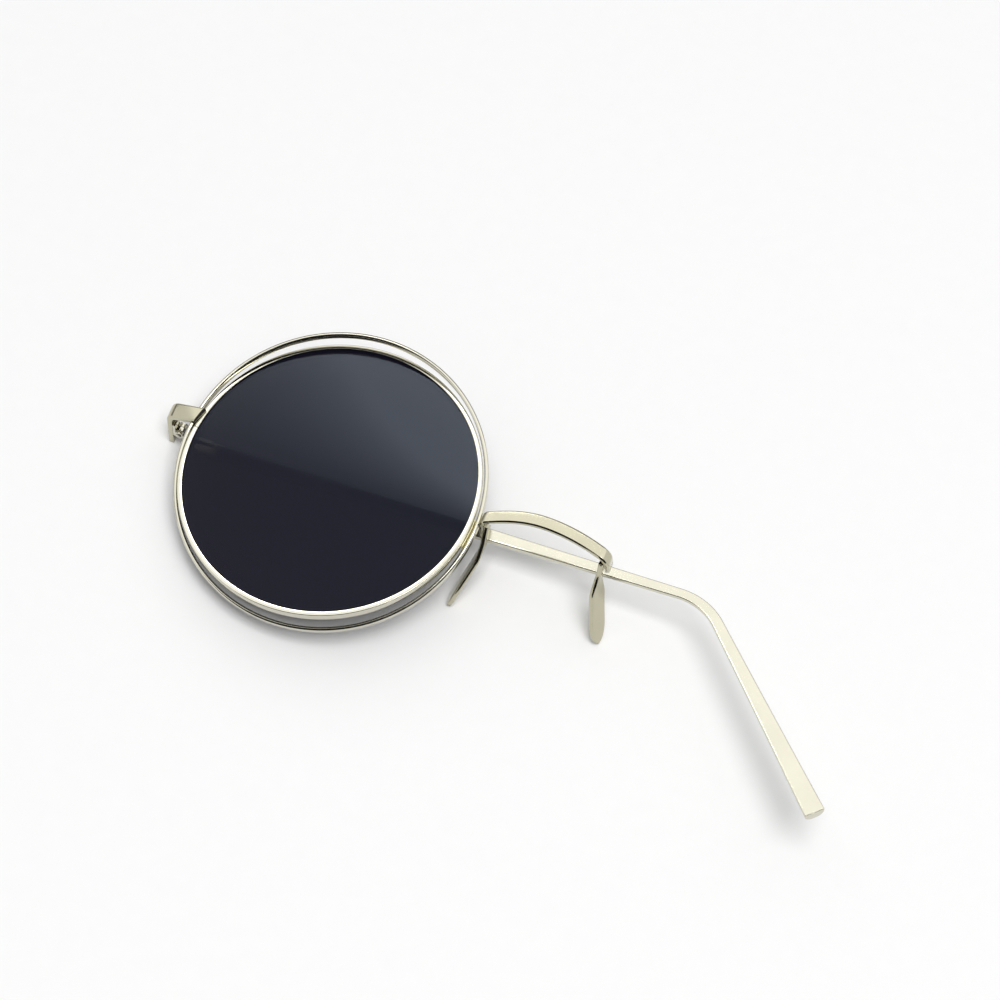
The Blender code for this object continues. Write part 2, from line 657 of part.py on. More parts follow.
def temple_line():
    """Stations of the temple: centre in X and Y, heading, and how far along it each lies."""
    stations = []
    butt = JOINT_REACH + RUNNING_GAP
    for k in range(TEMPLE_STEPS + 1):
        along = butt + (TEMPLE_LENGTH - butt) * k / TEMPLE_STEPS
        half = temple_size(along)[0] / 2
        stations.append((Vector((along, TEMPLE_EDGE_PLACE - half)), 0, along))
    centre = stations[-1][0] - Vector((0, EAR_BEND_RADIUS))
    bend_length = EAR_BEND_RADIUS * EAR_BEND_ANGLE
    for k in range(1, BEND_STEPS + 1):
        angle = EAR_BEND_ANGLE * k / BEND_STEPS
        point = centre + EAR_BEND_RADIUS * Vector((math.sin(angle), math.cos(angle)))
        stations.append((point, angle, TEMPLE_LENGTH + bend_length * k / BEND_STEPS))
    heading = Vector((math.cos(EAR_BEND_ANGLE), -math.sin(EAR_BEND_ANGLE)))
    last = stations[-1][0]
    for k in range(1, EAR_STEPS + 1):
        reach = EAR_LENGTH * k / EAR_STEPS
        stations.append((last + heading * reach, EAR_BEND_ANGLE, TEMPLE_LENGTH + bend_length + reach))
    return stations


def make_temple(pivot):
    """Half-round strip with its flat side towards the lens when folded."""
    sections = []
    for point, heading, along in temple_line():
        width, thickness = temple_size(along)
        across = Vector((math.sin(heading), math.cos(heading), 0))
        centre = Vector((point.x, point.y, -HINGE_OFFSET))
        sections.append(place(half_round_outline(width, thickness), centre, across, Vector((0, 0, 1))))
    add_piece(loft("temple", sections), pale_gold, pivot)


def lowest_corner(name, up):
    """The corner of a piece that lies lowest along a direction."""
    item = bpy.data.objects[name]
    corners = [item.matrix_world @ vertex.co for vertex in item.data.vertices]
    return min(corners, key=lambda corner: corner.dot(up))


def table_direction():
    """The way up when the endpiece's foot and both pad tips touch the table."""
    up = Vector((0, 0, 1))
    for _ in range(SETTLING_ROUNDS):
        foot = lowest_corner("endpiece", up)
        left = lowest_corner("left_nose_pad", up)
        right = lowest_corner("right_nose_pad", up)
        up = (left - foot).cross(right - foot).normalized()
    return up


def stand_on_table(front):
    """Turns the front to lie on its three feet and centres the whole piece over the origin."""
    bpy.context.view_layer.update()
    up = table_direction()
    ahead = (Vector((1, 0, 0)) - up * up.x).normalized()
    turn = Matrix((ahead, up.cross(ahead), up)).to_4x4()
    front.matrix_basis = turn
    bpy.context.view_layer.update()
    pieces = [item for item in bpy.data.objects if item.type == "MESH" and not item.hide_render]
    corners = [item.matrix_world @ vertex.co for item in pieces for vertex in item.data.vertices]
    low = Vector([min(corner[i] for corner in corners) for i in range(3)])
    high = Vector([max(corner[i] for corner in corners) for i in range(3)])
    shift = Vector((-(low.x + high.x) / 2, -(low.y + high.y) / 2, -low.z))
    front.matrix_basis = Matrix.Translation(shift) @ turn


def make_front(front):
    make_outer_rim(front)
    make_lens_rim(front)
    make_lens(front)
    make_rim_strut(front)
    make_rim_lock(front)
    make_endpiece(front)
    make_bridge(front)
    make_nose_pads(front)


def make_folded_temple(front):
    """Hinge and temple; the pivot turns about its own Y to open the temple."""
    hinge = empty("hinge_frame", front, hinge_matrix())
    make_front_leaf(hinge)
    make_hinge_screw(hinge)
    over_fold = TEMPLE_FOLD - math.pi / 2
    pivot = empty("temple_pivot", hinge, Matrix.Rotation(-over_fold, 4, "Y"))
    make_temple_leaf(pivot)
    make_temple(pivot)


def main():
    clear_scene()
    front = empty("front_frame", None, Matrix.Identity(4))
    make_front(front)
    make_folded_temple(front)
    stand_on_table(front)


main()
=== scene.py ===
"""Looks of the one-lens sunglasses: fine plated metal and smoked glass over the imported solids, on white.

Sizes are in metres. The front's own frame has X from the hinge to the bridge, Y to the brow and Z out of
the lens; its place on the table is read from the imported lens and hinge.
"""
import json
import math

import bmesh
import bpy
from mathutils import Matrix, Vector


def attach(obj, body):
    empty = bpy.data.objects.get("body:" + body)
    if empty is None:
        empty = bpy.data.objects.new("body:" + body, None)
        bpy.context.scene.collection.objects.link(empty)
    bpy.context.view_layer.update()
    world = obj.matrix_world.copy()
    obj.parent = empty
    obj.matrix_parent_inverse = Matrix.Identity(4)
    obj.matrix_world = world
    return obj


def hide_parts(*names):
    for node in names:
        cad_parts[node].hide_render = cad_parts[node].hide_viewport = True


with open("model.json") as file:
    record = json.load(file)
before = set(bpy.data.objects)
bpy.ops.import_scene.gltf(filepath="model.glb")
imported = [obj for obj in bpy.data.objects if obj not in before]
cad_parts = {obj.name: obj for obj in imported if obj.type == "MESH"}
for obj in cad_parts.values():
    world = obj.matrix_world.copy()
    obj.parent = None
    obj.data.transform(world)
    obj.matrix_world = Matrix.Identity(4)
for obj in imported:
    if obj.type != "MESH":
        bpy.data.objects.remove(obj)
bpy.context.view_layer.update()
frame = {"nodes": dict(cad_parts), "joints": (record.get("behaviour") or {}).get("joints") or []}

# Seats
SEAT_GAP = 0.00006

# Lens rim and the outer rim that crosses it
LENS_OPENING_RADIUS = 0.02606
LENS_RIM_WIDTH = 0.00084
LENS_RIM_DEPTH = 0.0016
LENS_RIM_EDGE = 0.00014
LENS_RIM_RISE = 0.00055
GROOVE_DEPTH = 0.00042
GROOVE_WIDTH = 0.0009
GROOVE_PLACE = 0.00085
RIM_SPLIT = 0.00014
RIM_SPLIT_ANGLE = math.radians(176.7)
CROSSING_ANGLE = math.radians(7.8)
CROSSING_HEADING = math.radians(4.5)
RIM_CLEARANCE = 0.00028
OUTER_RIM_WIDTH = 0.00075
OUTER_RIM_DEPTH = 0.0014
OUTER_RIM_EDGE = 0.0001
OUTER_RIM_CROWN = math.radians(52)

# Lens
LENS_RECESS = 0.0004
LENS_THICKNESS = 0.0018

# Strut between the rims
STRUT_LENGTH = 0.0053
STRUT_DEPTH = 0.0016
STRUT_ANGLE = math.radians(-4.2)
STRUT_EDGE = 0.00005

# Endpiece
ENDPIECE_WIDTH = 0.003
ENDPIECE_THICKNESS = 0.0011
ENDPIECE_LAP = 0.0003
ENDPIECE_HEIGHT = 0.0013
ENDPIECE_PLACE = 0.0036
ENDPIECE_SLOPE = math.radians(17)
ENDPIECE_END_ANGLE = math.radians(15)
ENDPIECE_BEND = 0.0024
ENDPIECE_RUN = 0.00546
LEG_FLARE = math.radians(4)
PANTOSCOPIC_TILT = math.radians(9)
STRIP_EDGE = 0.00008
STRIP_CHAMFER = 0.00028
STRIP_CHAMFER_ANGLE = math.radians(40)

# Hinge
HINGE_BACK = 0.0061
HINGE_PLACE = -0.0005
JOINT_REACH = 0.003
KNUCKLE_RADIUS = 0.00092
KNUCKLE_CLEARANCE = 0.00023
RUNNING_GAP = 0.00005

# Temple
TEMPLE_LENGTH = 0.09496
TEMPLE_EDGE_PLACE = 0.00054
TEMPLE_FOLD = math.radians(90.5)
TEMPLE_ROOT_WIDTH = 0.0034
TEMPLE_WAIST_WIDTH = 0.00182
TEMPLE_TIP_WIDTH = 0.0036
TEMPLE_ROOT_THICKNESS = 0.0014
TEMPLE_WAIST_THICKNESS = 0.0013
TEMPLE_TIP_THICKNESS = 0.0021
TEMPLE_EDGE = 0.00018
TIP_GROWTH_POWER = 1.3
ROOT_BELLY_POWER = 0.2
TIP_BELLY_POWER = 0.85
EAR_BEND_ANGLE = math.radians(46.8)
EAR_BEND_RADIUS = 0.01104
EAR_LENGTH = 0.03924

# Bridge
BRIDGE_SPAN = 0.0238
BRIDGE_RISE = 0.0028
BRIDGE_PLACE = 0.0012
BRIDGE_HEIGHT = 0.0009
BRIDGE_WIDTH = 0.0024
BRIDGE_THICKNESS = 0.0008
BRIDGE_BEND = 0.0011
BRIDGE_RIGHT_BEND = 0.0018
BRIDGE_RIM_LEG = 0.0017
BRIDGE_PAD_LEG = 0.0033
ARCH_PEAK_SHARE = 0.44
ARCH_RISE_POWER = 0.9
ARCH_FALL_POWER = 1.9

# Nose pads
PAD_WIDTH = 0.0039
PAD_THICKNESS = 0.0009
PAD_SPLAY = math.radians(17)
PAD_TOP_DROP = 0.0005
PAD_TOP_PLACE = 0.0007
PAD_EDGE_SHARE = 0.4
PAD_ARM_SHARE = 0.2
LEFT_PAD_BOW = 0.0007
LEFT_PAD_SPREAD = -0.0037
LEFT_PAD_DROP = 0.012
LEFT_PAD_DEPTH = 0.0111
RIGHT_PAD_BOW = -0.0005
RIGHT_PAD_SPREAD = 0.0016
RIGHT_PAD_DROP = 0.0092
RIGHT_PAD_DEPTH = 0.0139
PAD_NECK_WIDTH_SHARE = 0.5
PAD_NECK_END_SHARE = 0.12
PAD_FULL_SHARE = 0.42
PAD_TIP_START_SHARE = 0.72
PAD_TIP_POWER = 2.6
PAD_TIP_THICKNESS_SHARE = 1

# How finely curves are divided
RIM_STEPS = 480
CORNER_STEPS = 5
FLAT_SHARES = (0.12, 0.31, 0.5, 0.69, 0.88)
CROWN_SHARE = 0.012
BEND_STEPS = 16
ARCH_STEPS = 72
HALF_ROUND_STEPS = 24
TEMPLE_STEPS = 48
EAR_BEND_STEPS = 28
EAR_STEPS = 24
PAD_STEPS = 56
STRUT_STEPS = 24
SMOOTH_ANGLE = math.radians(35)
END_BEVEL = 0.00009
SMALL_BEVEL = 0.00005
BEVEL_STEPS = 3
WELD_DISTANCE = 0.000001

# Worked out from the above
LENS_RIM_OUTSIDE = LENS_OPENING_RADIUS + LENS_RIM_WIDTH
OUTER_RIM_INSIDE = LENS_RIM_OUTSIDE + RIM_CLEARANCE
OUTER_RIM_OUTSIDE = OUTER_RIM_INSIDE + OUTER_RIM_WIDTH
ENDPIECE_REACH = LENS_RIM_OUTSIDE - ENDPIECE_LAP
ENDPIECE_OUT = OUTER_RIM_OUTSIDE + ENDPIECE_RUN
HINGE_OFFSET = KNUCKLE_RADIUS + KNUCKLE_CLEARANCE
FOOT_BACK = HINGE_BACK + JOINT_REACH / math.cos(PANTOSCOPIC_TILT)
BRIDGE_LEFT = OUTER_RIM_OUTSIDE + SEAT_GAP
BRIDGE_RIGHT = BRIDGE_LEFT + BRIDGE_SPAN

# Metal
RIM_GOLD = (0.63, 0.61, 0.51)
TEMPLE_GOLD = (0.64, 0.62, 0.51)
STRIP_GOLD = (0.52, 0.495, 0.37)
SOLDER_GOLD = (0.80, 0.74, 0.48)
SCREW_GREY = (0.60, 0.58, 0.52)
RIM_ROUGHNESS = 0.05
TEMPLE_ROUGHNESS = 0.1
STRIP_ROUGHNESS = 0.12
SOLDER_ROUGHNESS = 0.22
SCREW_ROUGHNESS = 0.2
RIM_GRAIN = 0.4
STRIP_GRAIN = 0.6
ROUGH_GRAIN = 1
DEEPER_SHARE = 0.95
WORN_SHARE = 0.97
WORN_ROUGHNESS = 0.04
SMUDGE_LEAST = 0.6
SMUDGE_MOST = 1.7
BUMP_STRENGTH = 0.05
BUMP_DEPTH = 0.00003

# Glass
# Lens colour: its own smoky grey, shifted across the glass from the first colour to the second as painted
# shading
GLASS_SMOKE_SHADE_FROM = (0.011, 0.009, 0.017)
GLASS_SMOKE_SHADE_TO = (0.007, 0.007, 0.014)
GLASS_HEADING = (0.6, 0.8, 0)
GLASS_START = -0.045
GLASS_END = 0.007
GLASS_ALPHA = 0.88
GLASS_SHINE = 0.12
GLASS_COATING = (0.7, 0.83, 1, 1)
# How far a noise wobbles the edge of the lens's painted shading
GLASS_SHADING_WOBBLE = 0.01
GLASS_ROUGHNESS = (0.008, 0.03)

# Paper of the table and of the cards
PAPER_GREY = (0.955, 0.955, 0.955)
PAPER_WHITE = (0.965, 0.965, 0.965)
PAPER_ROUGHNESS = 0.9
CARD_ROUGHNESS = (0.5, 0.8)

# Noises of the materials, each a scale per metre and a detail
MOTTLE = (140, 4)
PATCHES = (1500, 3)
SMUDGES = (420, 5)
SCRATCHES = (1, 2)
RIPPLE = (700, 2)
# Noise that wobbles the edge of the lens's painted shading
GLASS_SHADING_NOISE = (60, 3)
FILM = (160, 5)
FIBRES = (300, 4)
NAP = (40, 3)

# Scratches run along X, so their noise is squeezed across it
SCRATCH_SQUEEZE = (900, 9000, 9000)

# The stretch of a noise's values that is used
MOTTLE_SPAN = (0.35, 0.65)
SPOT_SPAN = (0.3, 0.75)
FILM_SPAN = (0.4, 0.8)
FIBRE_SPAN = (0.3, 0.7)

# Sockets of the mix node that carry colours
MIX_COLOURS = (6, 7)
MIX_RESULT = 2

# Studio: a softbox overhead, a pale wall and a window behind, a dimmer white surround, and dark cards
SOFTBOX_PLACE = Vector((0.38, -0.42, 2))
SOFTBOX_SIZE = 1.1
SOFTBOX_POWER = 30.3
WALL_DISTANCE = 1.9
WALL_ELEVATION = math.radians(58)
WALL_WIDTH = 3
WALL_HEIGHT = 2.4
WALL_POWER = 10.5
WINDOW_CORNER = Vector((-0.864, 0.6475, 1.722))
WINDOW_EDGE = Vector((0.953, 0.081, 0.292))
WINDOW_LEFT = 0.1
WINDOW_RIGHT = 0.3
WINDOW_HEIGHT = 0.15
WINDOW_FAINT = 2
WINDOW_GLOW = 9
WINDOW_RISE = 3
WINDOW_GROWTH = 10.8
SURROUND_LIGHT = 0.24
NEAR_CARD_DISTANCE = 0.6
NEAR_CARD_ELEVATION = math.radians(42)
NEAR_CARD_WIDTH = 1.4
NEAR_CARD_HEIGHT = 1.12
SIDE_CARD_DISTANCE = 0.8
SIDE_CARD_ELEVATION = math.radians(7)
SIDE_CARD_TURN = math.radians(-119)
SIDE_CARD_WIDTH = 0.8
SIDE_CARD_HEIGHT = 0.32
FAR_CARD_DISTANCE = 0.9
FAR_CARD_ELEVATION = math.radians(18)
FAR_CARD_WIDTH = 2
FAR_CARD_HEIGHT = 0.65
CARD_BLACK = (0.01, 0.01, 0.01, 1)
CARD_GREY = (0.4, 0.4, 0.4, 1)
FLOOR_REACH = 2.5

# Camera: a long lens, its axes given in the front's own frame
CAMERA_ACROSS = Vector((0.9305, 0.356, -0.0862))
CAMERA_UP = Vector((-0.2934, 0.8653, 0.4065))
CAMERA_PLACE = Vector((0.14393, -0.17797, 0.47343))
CAMERA_LENS = 108
CAMERA_SENSOR = 36
CAMERA_NEAR = 0.05
CAMERA_FAR = 20


def noise(tree, place, scale, detail):
    """A noise texture at a scale per metre."""
    node = tree.nodes.new("ShaderNodeTexNoise")
    node.inputs["Scale"].default_value = scale
    node.inputs["Detail"].default_value = detail
    tree.links.new(place, node.inputs["Vector"])
    return node.outputs["Fac"]


def ramp(tree, value, low, high, low_out, high_out):
    """Maps a value's range to another, held at its ends."""
    node = tree.nodes.new("ShaderNodeMapRange")
    for socket, number in (("From Min", low), ("From Max", high), ("To Min", low_out), ("To Max", high_out)):
        node.inputs[socket].default_value = number
    tree.links.new(value, node.inputs["Value"])
    return node.outputs["Result"]


def mix(tree, share, first, second):
    """Mixes two colours, each a socket or a plain colour."""
    node = tree.nodes.new("ShaderNodeMix")
    node.data_type = "RGBA"
    tree.links.new(share, node.inputs["Factor"])
    for index, colour in zip(MIX_COLOURS, (first, second)):
        if isinstance(colour, tuple):
            node.inputs[index].default_value = (*colour, 1)
        else:
            tree.links.new(colour, node.inputs[index])
    return node.outputs[MIX_RESULT]


def maths(tree, operation, first, second):
    """A calculation on two values, each a socket or a plain number."""
    node = tree.nodes.new("ShaderNodeMath")
    node.operation = operation
    for index, value in enumerate((first, second)):
        if isinstance(value, (int, float)):
            node.inputs[index].default_value = value
        else:
            tree.links.new(value, node.inputs[index])
    return node.outputs[0]


def start_material(name):
    """A new material with its shader and object coordinates."""
    material = bpy.data.materials.new(name)
    material.use_nodes = True
    tree = material.node_tree
    place = tree.nodes.new("ShaderNodeTexCoord").outputs["Object"]
    return material, tree, tree.nodes["Principled BSDF"], place


def squeezed(tree, place, scales):
    """Coordinates scaled unevenly along the axes, which draws a noise out into lines."""
    node = tree.nodes.new("ShaderNodeMapping")
    node.inputs["Scale"].default_value = scales
    tree.links.new(place, node.inputs["Vector"])
    return node.outputs["Vector"]


def plated(name, colour, roughness, grain):
    """Plated metal: faintly mottled, smudged and scratched, a little darker and duller along its edges."""
    material, tree, shader, place = start_material(name)
    deeper = tuple(channel * DEEPER_SHARE for channel in colour)
    worn = tuple(channel * WORN_SHARE for channel in colour)
    mottle = ramp(tree, noise(tree, place, *MOTTLE), *MOTTLE_SPAN, 0, 1)
    tint = mix(tree, mottle, colour, deeper)
    wear = tree.nodes.new("ShaderNodeAttribute")
    wear.attribute_name = "wear"
    patches = ramp(tree, noise(tree, place, *PATCHES), *SPOT_SPAN, 0, 1)
    rubbed = maths(tree, "MULTIPLY", wear.outputs["Fac"], patches)
    tree.links.new(mix(tree, rubbed, tint, worn), shader.inputs["Base Color"])
    least, most = roughness * SMUDGE_LEAST, roughness * SMUDGE_MOST
    smudges = ramp(tree, noise(tree, place, *SMUDGES), *SPOT_SPAN, least, most)
    dulled = maths(tree, "MULTIPLY", rubbed, WORN_ROUGHNESS)
    tree.links.new(maths(tree, "ADD", smudges, dulled), shader.inputs["Roughness"])
    shader.inputs["Metallic"].default_value = 1
    scratches = noise(tree, squeezed(tree, place, SCRATCH_SQUEEZE), *SCRATCHES)
    ripple = noise(tree, place, *RIPPLE)
    height = maths(tree, "ADD", maths(tree, "MULTIPLY", scratches, grain), ripple)
    bump = tree.nodes.new("ShaderNodeBump")
    bump.inputs["Strength"].default_value = BUMP_STRENGTH
    bump.inputs["Distance"].default_value = BUMP_DEPTH
    tree.links.new(height, bump.inputs["Height"])
    tree.links.new(bump.outputs["Normal"], shader.inputs["Normal"])
    return material


def smoked_glass():
    """The tinted lens: see-through smoky grey with painted shading that shifts its colour across it, under a
    faint uneven film.
    """
    material, tree, shader, place = start_material("smoked_glass")
    # Painted shading: the glass's colour shifts along a heading, its edge wobbled by noise
    along = tree.nodes.new("ShaderNodeVectorMath")
    along.operation = "DOT_PRODUCT"
    along.inputs[1].default_value = GLASS_HEADING
    tree.links.new(place, along.inputs[0])
    shading_wobble = maths(tree, "MULTIPLY", noise(tree, place, *GLASS_SHADING_NOISE), GLASS_SHADING_WOBBLE)
    share = ramp(tree, maths(tree, "ADD", along.outputs["Value"], shading_wobble), GLASS_START, GLASS_END, 0, 1)
    tree.links.new(mix(tree, share, GLASS_SMOKE_SHADE_FROM, GLASS_SMOKE_SHADE_TO), shader.inputs["Base Color"])
    film = ramp(tree, noise(tree, place, *FILM), *FILM_SPAN, *GLASS_ROUGHNESS)
    tree.links.new(film, shader.inputs["Roughness"])
    shader.inputs["Specular IOR Level"].default_value = GLASS_SHINE
    shader.inputs["Specular Tint"].default_value = GLASS_COATING
    shader.inputs["Alpha"].default_value = GLASS_ALPHA
    return material


def paper():
    """White paper of the table."""
    material, tree, shader, place = start_material("paper")
    fibres = ramp(tree, noise(tree, place, *FIBRES), *FIBRE_SPAN, 0, 1)
    tree.links.new(mix(tree, fibres, PAPER_GREY, PAPER_WHITE), shader.inputs["Base Color"])
    shader.inputs["Roughness"].default_value = PAPER_ROUGHNESS
    shader.inputs["Specular IOR Level"].default_value = 0
    return material


def hump(share):
    """A curve that is 1 halfway and 0 at both ends."""
    return 4 * share * (1 - share)


def rounded_outline(width, height, edge):
    """Points of a rounded rectangle whose sides swell slightly, and how exposed to wear each one is."""
    points, wear = [], []
    corners = [Vector((sx * (width / 2 - edge), sy * (height / 2 - edge)))
               for sx, sy in ((1, 1), (-1, 1), (-1, -1), (1, -1))]
    for quarter, centre in enumerate(corners):
        for k in range(CORNER_STEPS + 1):
            angle = (quarter + k / CORNER_STEPS) * math.pi / 2
            points.append(centre + edge * Vector((math.cos(angle), math.sin(angle))))
            wear.append(1)
        outward = Vector((math.cos(angle), math.sin(angle)))
        start, end = points[-1], corners[(quarter + 1) % 4] + edge * outward
        swell = (end - start).length * CROWN_SHARE
        for share in FLAT_SHARES:
            points.append(start.lerp(end, share) + outward * swell * hump(share))
            wear.append(0)
    return points, wear


def crowned_outline(width, height, edge, crown):
    """Points of a section with flat sides, whose top and bottom are arcs that reach a steep crown angle."""
    half = width / 2
    radius = edge + (half - edge) / math.sin(crown)
    corner = height / 2 - radius + (radius - edge) * math.cos(crown)
    quarter = []
    for k in range(CORNER_STEPS + 1):
        angle = math.pi / 2 - (math.pi / 2 - crown) * k / CORNER_STEPS
        quarter.append(Vector((half - edge + edge * math.sin(angle), corner + edge * math.cos(angle))))
    for k in range(1, 2 * CORNER_STEPS):
        angle = crown - crown * k / (2 * CORNER_STEPS)
        quarter.append(Vector((radius * math.sin(angle), height / 2 - radius * (1 - math.cos(angle)))))
    top = quarter + [Vector((0, height / 2))] + [Vector((-point.x, point.y)) for point in reversed(quarter)]
    points = top + [-point for point in top]
    return points, [1] * len(points)


def chamfered_outline(width, height, edge):
    """Points of a flat strip's section, both its upper corners cut back to a shallow chamfer."""
    half, top = width / 2, height / 2
    drop = STRIP_CHAMFER * math.tan(STRIP_CHAMFER_ANGLE)
    corners = [Vector((half, -top)), Vector((half, top - drop)), Vector((half - STRIP_CHAMFER, top))]
    corners += [Vector((-corner.x, corner.y)) for corner in reversed(corners)]
    points, wear = [], []
    for index, corner in enumerate(corners):
        before, after = corners[index - 1], corners[(index + 1) % len(corners)]
        enter = corner + (before - corner).normalized() * edge
        leave = corner + (after - corner).normalized() * edge
        for k in range(CORNER_STEPS + 1):
            share = k / CORNER_STEPS
            points.append(enter.lerp(corner, share).lerp(corner.lerp(leave, share), share))
            wear.append(1)
        far = after + (corner - after).normalized() * edge
        swell = (far - leave).length * CROWN_SHARE
        outward = Vector((after.y - corner.y, corner.x - after.x)).normalized()
        for share in FLAT_SHARES:
            points.append(leave.lerp(far, share) + outward * swell * hump(share))
            wear.append(0)
    return points, wear


def belly_outline(width, thickness, power):
    """Section of the temple: flat on top, with eased edges and a belly that a low power makes squarer."""
    points, wear = [], []
    half, flat = width / 2, width / 2 - TEMPLE_EDGE
    for k in range(CORNER_STEPS):
        angle = math.pi / 2 * k / CORNER_STEPS
        points.append(Vector((flat + math.cos(angle) * TEMPLE_EDGE, (math.sin(angle) - 1) * TEMPLE_EDGE)))
        wear.append(1)
    points.append(Vector((flat, 0)))
    wear.append(1)
    for share in FLAT_SHARES:
        points.append(Vector((flat - 2 * flat * share, 0)))
        wear.append(0)
    for k in range(CORNER_STEPS):
        angle = math.pi / 2 + math.pi / 2 * k / CORNER_STEPS
        points.append(Vector((-flat + math.cos(angle) * TEMPLE_EDGE, (math.sin(angle) - 1) * TEMPLE_EDGE)))
        wear.append(1)
    belly = thickness - TEMPLE_EDGE
    for k in range(HALF_ROUND_STEPS):
        angle = math.pi + math.pi * k / HALF_ROUND_STEPS
        out, down = math.cos(angle), abs(math.sin(angle)) ** power
        points.append(Vector((math.copysign(abs(out) ** power, out) * half, -down * belly - TEMPLE_EDGE)))
        wear.append(0)
    return points, wear


def skin(name, sections, wear, closed):
    """A mesh through outlines of equal count, either a closed ring or capped at both ends."""
    shape = bmesh.new()
    layer = shape.verts.layers.float.new("wear")
    loops = []
    for section in sections:
        loop = []
        for point, amount in zip(section, wear):
            vertex = shape.verts.new(point)
            vertex[layer] = amount
            loop.append(vertex)
        loops.append(loop)
    count = len(wear)
    for near, far in zip(loops, loops[1:] + (loops[:1] if closed else [])):
        for i in range(count):
            j = (i + 1) % count
            shape.faces.new((near[i], near[j], far[j], far[i]))
    if not closed:
        shape.faces.new(list(reversed(loops[0])))
        shape.faces.new(loops[-1])
    bmesh.ops.recalc_face_normals(shape, faces=shape.faces)
    mesh = bpy.data.meshes.new(name)
    shape.to_mesh(mesh)
    shape.free()
    return mesh


def place_outline(outline, centre, across, up):
    """Lays an outline at a centre, with its x along one direction and its y along another."""
    return [centre + across * point.x + up * point.y for point in outline]


def turned(profile, start, sweep, steps):
    """Copies of a profile of (radius, height) points, turned round Z."""
    sections = []
    for k in range(steps + 1):
        angle = start + sweep * k / steps
        turn = Vector((math.cos(angle), math.sin(angle), 0))
        sections.append([turn * radius + Vector((0, 0, height)) for radius, height in profile])
    return sections


def hoop(name, profile, wear):
    return skin(name, turned(profile, 0, math.tau, RIM_STEPS)[:-1], wear, True)


def shade(mesh):
    mesh.shade_smooth()
    mesh.set_sharp_from_angle(angle=SMOOTH_ANGLE)


def settle(item):
    """Applies an object's modifiers to its mesh."""
    bpy.context.view_layer.update()
    depsgraph = bpy.context.evaluated_depsgraph_get()
    mesh = bpy.data.meshes.new_from_object(item.evaluated_get(depsgraph))
    item.modifiers.clear()
    item.data = mesh


def cut(item, mesh):
    """Takes a cutter's mesh out of an object."""
    cutter = bpy.data.objects.new("cutter", mesh)
    bpy.context.collection.objects.link(cutter)
    modifier = item.modifiers.new("cut", "BOOLEAN")
    modifier.operation = "DIFFERENCE"
    modifier.solver = "EXACT"
    modifier.object = cutter
    settle(item)
    bpy.data.objects.remove(cutter, do_unlink=True)


def soften(item, width):
    """Rounds the sharp edges of an object."""
    modifier = item.modifiers.new("soften", "BEVEL")
    modifier.width = width
    modifier.segments = BEVEL_STEPS
    modifier.limit_method = "ANGLE"
    modifier.angle_limit = SMOOTH_ANGLE
    modifier.use_clamp_overlap = True


def round_ends(item):
    """Rounds the sharp ends of a strip and shades it."""
    soften(item, END_BEVEL)
    settle(item)
    shade(item.data)


def add_piece(mesh, matrix, finish, body, *nodes):
    """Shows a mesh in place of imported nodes, on their body, with the finish of the first."""
    mesh.transform(matrix)
    item = bpy.data.objects.new(mesh.name, mesh)
    bpy.context.collection.objects.link(item)
    mesh.materials.append(finish)
    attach(item, body)
    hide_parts(*nodes)
    return item


def crossing(side):
    """Tilt of a rim about the line on which the two rims cross."""
    turn = Matrix.Rotation(CROSSING_HEADING, 4, "Z")
    return turn @ Matrix.Rotation(side * CROSSING_ANGLE / 2, 4, "X") @ turn.inverted()


def outer_rim_frame():
    return crossing(1)


def lens_rim_frame():
    return crossing(-1) @ Matrix.Translation((0, 0, LENS_RIM_RISE))


def lens_face():
    """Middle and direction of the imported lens's front face."""
    middle, facing, whole = Vector(), Vector(), 0
    for polygon in frame["nodes"]["lens"].data.polygons:
        if polygon.normal.z > math.cos(SMOOTH_ANGLE):
            middle += polygon.center * polygon.area
            facing += polygon.normal * polygon.area
            whole += polygon.area
    return middle / whole, facing.normalized()


def axes_from(first, second):
    """A turn whose Z is the first direction and whose Y leans to the second."""
    side = second.cross(first).normalized()
    return Matrix((side, first.cross(side), first)).transposed()


def front_place():
    """Where the front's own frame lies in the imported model."""
    middle, facing = lens_face()
    hinge = Vector(frame["joints"][0]["axis"]).normalized()
    lens = lens_rim_frame()
    own_hinge = Matrix.Rotation(-PANTOSCOPIC_TILT, 3, "X") @ Vector((0, 1, 0))
    turn = axes_from(facing, hinge) @ axes_from(lens.to_3x3() @ Vector((0, 0, 1)), own_hinge).inverted()
    return Matrix.Translation(middle - turn @ (lens @ Vector((0, 0, -LENS_RECESS)))) @ turn.to_4x4()


def outer_rim_profile(growth):
    """Section of the outer rim, grown all round for the cutter of whatever seats on it."""
    width, depth = OUTER_RIM_WIDTH + 2 * growth, OUTER_RIM_DEPTH + 2 * growth
    outline, wear = crowned_outline(width, depth, OUTER_RIM_EDGE, OUTER_RIM_CROWN)
    middle = (OUTER_RIM_INSIDE + OUTER_RIM_OUTSIDE) / 2
    return [(middle + point.x, point.y - OUTER_RIM_DEPTH / 2) for point in outline], wear


def make_outer_rim(front, finish):
    mesh = hoop("outer_rim_wire", *outer_rim_profile(0))
    shade(mesh)
    add_piece(mesh, front @ outer_rim_frame(), finish, "front", "outer_rim")


def notch_for_outer_rim(item, front):
    """Seats a piece on the outer rim."""
    mesh = hoop("notch", *outer_rim_profile(SEAT_GAP))
    mesh.transform(front @ outer_rim_frame())
    cut(item, mesh)


